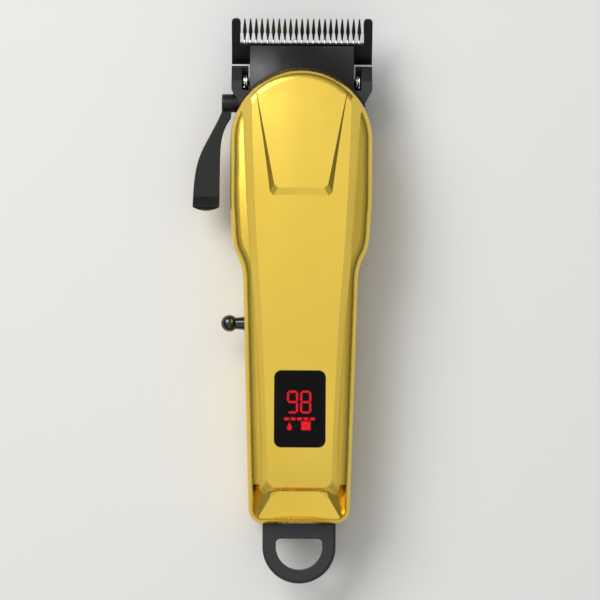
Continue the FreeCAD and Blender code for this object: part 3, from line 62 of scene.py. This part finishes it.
class Mat:
    """A Principled material with small helpers for procedural detail."""

    def __init__(self, name, base, metallic=0.0, rough=0.5, **sockets):
        self.mat = bpy.data.materials.new(name)
        self.mat.use_nodes = True
        self.nt = self.mat.node_tree
        self.bsdf = self.nt.nodes["Principled BSDF"]
        self.set("Base Color", base)
        self.set("Metallic", metallic)
        self.set("Roughness", rough)
        for key, value in sockets.items():
            self.set(key.replace("_", " "), value)
        self.coord = self.nt.nodes.new("ShaderNodeTexCoord")
        self.normal = None

    def set(self, socket, value):
        """Sets a uniform value on the shader."""
        self.bsdf.inputs[socket].default_value = value

    def node(self, kind, **inputs):
        """Adds a node with given input values."""
        n = self.nt.nodes.new(kind)
        for key, value in inputs.items():
            n.inputs[key.replace("_", " ")].default_value = value
        return n

    def link(self, a, b):
        """Joins an output to an input."""
        self.nt.links.new(a, b)

    def mapping(self, scale):
        """Object coordinates stretched by a scale per axis."""
        m = self.node("ShaderNodeMapping", Scale=scale)
        self.link(self.coord.outputs["Object"], m.inputs["Vector"])
        return m.outputs["Vector"]

    def noise(self, scale, detail=3.0, stretch=(1, 1, 1), rough=0.5):
        """Noise pattern; a small stretch value draws it out along that axis."""
        n = self.node("ShaderNodeTexNoise", Scale=scale, Detail=detail, Roughness=rough)
        self.link(self.mapping(stretch), n.inputs["Vector"])
        return n.outputs["Fac"]

    def spread(self, fac, low, high, start=0.3, stop=0.7):
        """Maps a pattern to the range low to high."""
        m = self.node("ShaderNodeMapRange")
        m.inputs["From Min"].default_value = start
        m.inputs["From Max"].default_value = stop
        m.inputs["To Min"].default_value = low
        m.inputs["To Max"].default_value = high
        self.link(fac, m.inputs["Value"])
        return m.outputs["Result"]

    def rough_from(self, fac, low, high):
        """Varies the roughness with a pattern."""
        self.link(self.spread(fac, low, high), self.bsdf.inputs["Roughness"])

    def colour_from(self, fac, a, b, start=0.3, stop=0.7):
        """Blends two base colours with a pattern."""
        ramp = self.nt.nodes.new("ShaderNodeValToRGB")
        ramp.color_ramp.elements[0].position = start
        ramp.color_ramp.elements[1].position = stop
        ramp.color_ramp.elements[0].color = a
        ramp.color_ramp.elements[1].color = b
        self.link(fac, ramp.inputs["Fac"])
        self.link(ramp.outputs["Color"], self.bsdf.inputs["Base Color"])

    def bump(self, fac, strength, distance=GRAIN_HEIGHT):
        """Adds fine relief on top of any earlier normal."""
        b = self.node("ShaderNodeBump", Strength=strength, Distance=distance)
        self.link(fac, b.inputs["Height"])
        if self.normal is not None:
            self.link(self.normal, b.inputs["Normal"])
        self.normal = b.outputs["Normal"]
        self.link(self.normal, self.bsdf.inputs["Normal"])

    def soft_edges(self, radius):
        """Shades sharp edges as if rounded by a small radius."""
        b = self.node("ShaderNodeBevel", Radius=radius)
        b.samples = BEVEL_SAMPLES
        self.normal = b.outputs["Normal"]

    def give(self, *names):
        """Puts the material on the named nodes."""
        for name in names:
            obj = nodes[name]
            obj.data.materials.clear()
            obj.data.materials.append(self.mat)


# ---- materials ----
gold = Mat("gold_satin", linear(238, 204, 84), metallic=1.0, rough=0.27)
gold.rough_from(gold.noise(60, 4, (1, 0.2, 1)), 0.24, 0.31)
gold.colour_from(gold.noise(25, 3), linear(235, 200, 80), linear(240, 207, 88))
gold.bump(gold.noise(1400, 3, (1, 0.15, 1)), 0.05)
gold.give("upper_shell", "lower_shell")

black = Mat("black_plastic", linear(28, 28, 29), rough=0.42)
black.rough_from(black.noise(300, 4), 0.36, 0.48)
black.colour_from(black.noise(60, 3), linear(24, 24, 25), linear(32, 32, 33))
black.soft_edges(0.0004)
black.bump(black.noise(3500, 2), 0.12)
black.give("nose_frame", "toggle_collar", "switch_body", "charge_socket", "motor_end_cap")

nose = Mat("nose_satin", linear(42, 42, 44), metallic=0.55, rough=0.36)
nose.rough_from(nose.noise(200, 4), 0.31, 0.42)
nose.bump(nose.noise(2600, 3), 0.07)
nose.give("nose_cover")

coat = Mat("blade_coat", linear(36, 36, 38), metallic=0.75, rough=0.34)
coat.rough_from(coat.noise(500, 4, (1, 0.1, 0.1)), 0.28, 0.42)
coat.bump(coat.noise(1800, 2, (1, 0.08, 0.08)), 0.08)
coat.give("fixed_blade", "cutter_base")

silver = Mat("ground_steel", linear(206, 207, 210), metallic=1.0, rough=0.24)
silver.rough_from(silver.noise(900, 4, (1, 0.05, 0.05)), 0.18, 0.32)
silver.bump(silver.noise(2500, 2, (0.1, 1, 1)), 0.08)
silver.give("moving_blade")

lever = Mat("lever_black", linear(12, 12, 13), rough=0.36, Specular_IOR_Level=0.4)
lever.rough_from(lever.noise(260, 4), 0.33, 0.45)
lever.soft_edges(0.0005)
lever.bump(lever.noise(3000, 2), 0.08)
lever.give("taper_lever")

gloss = Mat("gloss_black", linear(16, 16, 17), rough=0.16, Coat_Weight=0.6, Coat_Roughness=0.06)
gloss.rough_from(gloss.noise(140, 3), 0.12, 0.2)
gloss.give("power_toggle")

mask = Mat("mask_black", linear(7, 7, 8), rough=0.5, Specular_IOR_Level=0.2)
mask.rough_from(mask.noise(240, 3), 0.44, 0.56)
mask.give("display_mask")

loop = Mat("loop_plastic", linear(34, 34, 36), rough=0.36)
loop.rough_from(loop.noise(220, 4), 0.34, 0.46)
loop.soft_edges(0.0004)
loop.bump(loop.noise(2600, 3), 0.1)
loop.give("hanging_loop")

window = Mat("smoked_window", linear(4, 4, 5), rough=0.2, Alpha=0.8, Specular_IOR_Level=0.12)
window.rough_from(window.noise(90, 2), 0.16, 0.24)
window.give("display_window")

light = Mat("red_light", linear(190, 10, 25), rough=0.4)
light.set("Emission Color", linear(255, 28, 48))
light.set("Emission Strength", 17.0)
light.colour_from(light.noise(400, 2), linear(190, 8, 20), linear(205, 18, 34))
light.give("display_light")

steel = Mat("zinc_steel", linear(196, 197, 200), metallic=1.0, rough=0.32)
steel.rough_from(steel.noise(700, 4), 0.26, 0.4)
steel.bump(steel.noise(2000, 2), 0.08)
steel.give("board_screws", "battery_tab_rear", "battery_tab_front", "motor_can", "motor_screws",
           "motor_shaft", "cam_pin", "blade_screws", "lever_shaft", "toggle_pin")

dark_screw = Mat("screw_black", linear(48, 48, 50), metallic=0.9, rough=0.36)
dark_screw.rough_from(dark_screw.noise(900, 3), 0.3, 0.44)
dark_screw.give("lever_screw", "case_screws")

wire = Mat("spring_wire", linear(222, 223, 226), metallic=1.0, rough=0.16)
wire.rough_from(wire.noise(900, 3), 0.12, 0.22)
wire.give("blade_spring")

alloy = Mat("plain_alloy", linear(190, 191, 194), metallic=1.0, rough=0.35)
alloy.rough_from(alloy.noise(500, 4, (1, 0.1, 1)), 0.28, 0.42)
alloy.bump(alloy.noise(1500, 3), 0.1)
alloy.give("motor_mount", "blade_carrier")

white = Mat("white_plastic", linear(226, 226, 222), rough=0.45, Subsurface_Weight=0.05)
white.rough_from(white.noise(300, 3), 0.4, 0.52)
white.bump(white.noise(2400, 2), 0.08)
white.give("inner_frame", "blade_follower")

board = Mat("green_board", linear(24, 92, 48), rough=0.3, Coat_Weight=0.3)
board.colour_from(board.noise(700, 1), linear(20, 84, 42), linear(38, 108, 60), 0.45, 0.55)
board.give("display_board", "charge_board")

wrap = Mat("cell_wrap", linear(40, 84, 150), rough=0.3)
wrap.rough_from(wrap.noise(80, 4), 0.24, 0.38)
wrap.bump(wrap.noise(300, 3), 0.06)
wrap.give("battery_cell")

copper = Mat("wound_copper", linear(184, 104, 62), metallic=1.0, rough=0.34)
copper.bump(copper.noise(1500, 2, (0.2, 1, 0.2)), 0.3, 0.0003)
copper.give("armature")

brass = Mat("machined_brass", linear(200, 164, 92), metallic=1.0, rough=0.3)
brass.rough_from(brass.noise(900, 3), 0.24, 0.36)
brass.give("eccentric_cam")

red_lead = Mat("lead_red", linear(176, 24, 24), rough=0.45)
red_lead.bump(red_lead.noise(900, 2), 0.1)
red_lead.give("battery_lead_front", "motor_lead_right")

black_lead = Mat("lead_black", linear(24, 24, 24), rough=0.45)
black_lead.bump(black_lead.noise(900, 2), 0.1)
black_lead.give("battery_lead_rear", "motor_lead_left")


# ---- stage ----
def add_floor():
    """Pale paper floor just under the clipper."""
    h = FLOOR_HALF
    mesh = bpy.data.meshes.new("floor")
    mesh.from_pydata([(-h, -h, 0), (h, -h, 0), (h, h, 0), (-h, h, 0)], [], [(0, 1, 2, 3)])
    floor = bpy.data.objects.new("floor", mesh)
    SCENE.collection.objects.link(floor)
    paper = Mat("floor_paper", linear(228, 228, 226), rough=0.75)
    paper.rough_from(paper.noise(40, 3), 0.7, 0.8)
    mesh.materials.append(paper.mat)
    floor.location.z = -FLOOR_DROP


def add_lamp(name, place, size, power):
    """White soft box aimed at the origin."""
    data = bpy.data.lights.new(name, "AREA")
    data.shape = "RECTANGLE"
    data.size, data.size_y = size
    data.energy = power
    obj = bpy.data.objects.new(name, data)
    SCENE.collection.objects.link(obj)
    obj.location = place
    aim = Vector((0, 0, 0)) - Vector(place)
    obj.rotation_euler = aim.to_track_quat("-Z", "Y").to_euler()


def add_world():
    """Soft surroundings, darker near the floor and brighter overhead."""
    world = bpy.data.worlds.new("studio")
    SCENE.world = world
    world.use_nodes = True
    nt = world.node_tree
    coord = nt.nodes.new("ShaderNodeTexCoord")
    split = nt.nodes.new("ShaderNodeSeparateXYZ")
    ramp = nt.nodes.new("ShaderNodeValToRGB")
    low, high = ramp.color_ramp.elements
    low.position = SKY_START
    low.color = (SKY_LOW, SKY_LOW, SKY_LOW, 1)
    high.position = SKY_STOP
    high.color = (SKY_HIGH, SKY_HIGH, SKY_HIGH, 1)
    nt.links.new(coord.outputs["Generated"], split.inputs["Vector"])
    nt.links.new(split.outputs["Z"], ramp.inputs["Fac"])
    nt.links.new(ramp.outputs["Color"], nt.nodes["Background"].inputs["Color"])


def add_camera():
    """Camera straight above the display face."""
    data = bpy.data.cameras.new("camera")
    cam = bpy.data.objects.new("camera", data)
    SCENE.collection.objects.link(cam)
    data.sensor_width = SENSOR_MM
    data.lens = SENSOR_MM * CAMERA_DISTANCE / PICTURE_WIDTH
    data.clip_start = NEAR_CLIP
    cam.location = (CAMERA_X, 0.0, PICTURE_WIDTH_Z + CAMERA_DISTANCE)
    cam.rotation_euler = (0, 0, math.radians(CAMERA_ROLL_DEG))
    SCENE.camera = cam


add_floor()
add_world()
for lamp in LAMPS:
    add_lamp(*lamp)
add_camera()
SCENE.view_settings.view_transform = "Standard"

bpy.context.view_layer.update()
